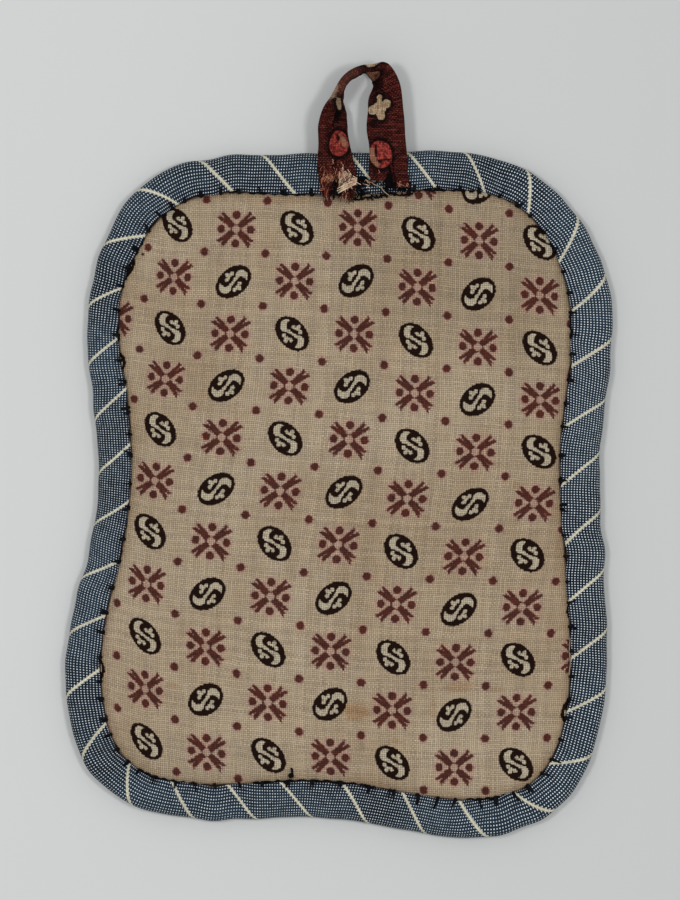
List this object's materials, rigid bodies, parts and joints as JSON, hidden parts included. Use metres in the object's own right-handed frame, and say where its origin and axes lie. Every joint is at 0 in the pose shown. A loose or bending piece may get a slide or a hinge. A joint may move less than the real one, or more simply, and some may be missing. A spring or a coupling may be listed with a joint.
{
  "type": "quilted pot holder",
  "caption": "Flat padded cloth pot holder, waisted outline, printed cotton front, bias binding round the rim and a tape loop at the top.",
  "frame": {"origin": "middle of the whole outline, loop included, on the surface that the back rests on", "axes": "+X to the right, +Y towards the hanging loop, +Z out of the printed front"},
  "size_m": [0.1445, 0.2049, 0.0108],
  "materials": {
    "printed_cotton": "tan plain-weave cotton, small two-colour print, soft with wear",
    "backing_cotton": "unbleached plain-weave cotton",
    "chambray": "blue and white chambray with single ivory stripes, cut on the bias",
    "madder_print": "dark madder brown printed cotton tape",
    "sewing_thread": "black cotton sewing thread"
  },
  "bodies": {
    "root": {"front_panel": "printed_cotton", "pad": "backing_cotton", "binding": "chambray", "loop": "madder_print"}
  },
  "joints": []
}
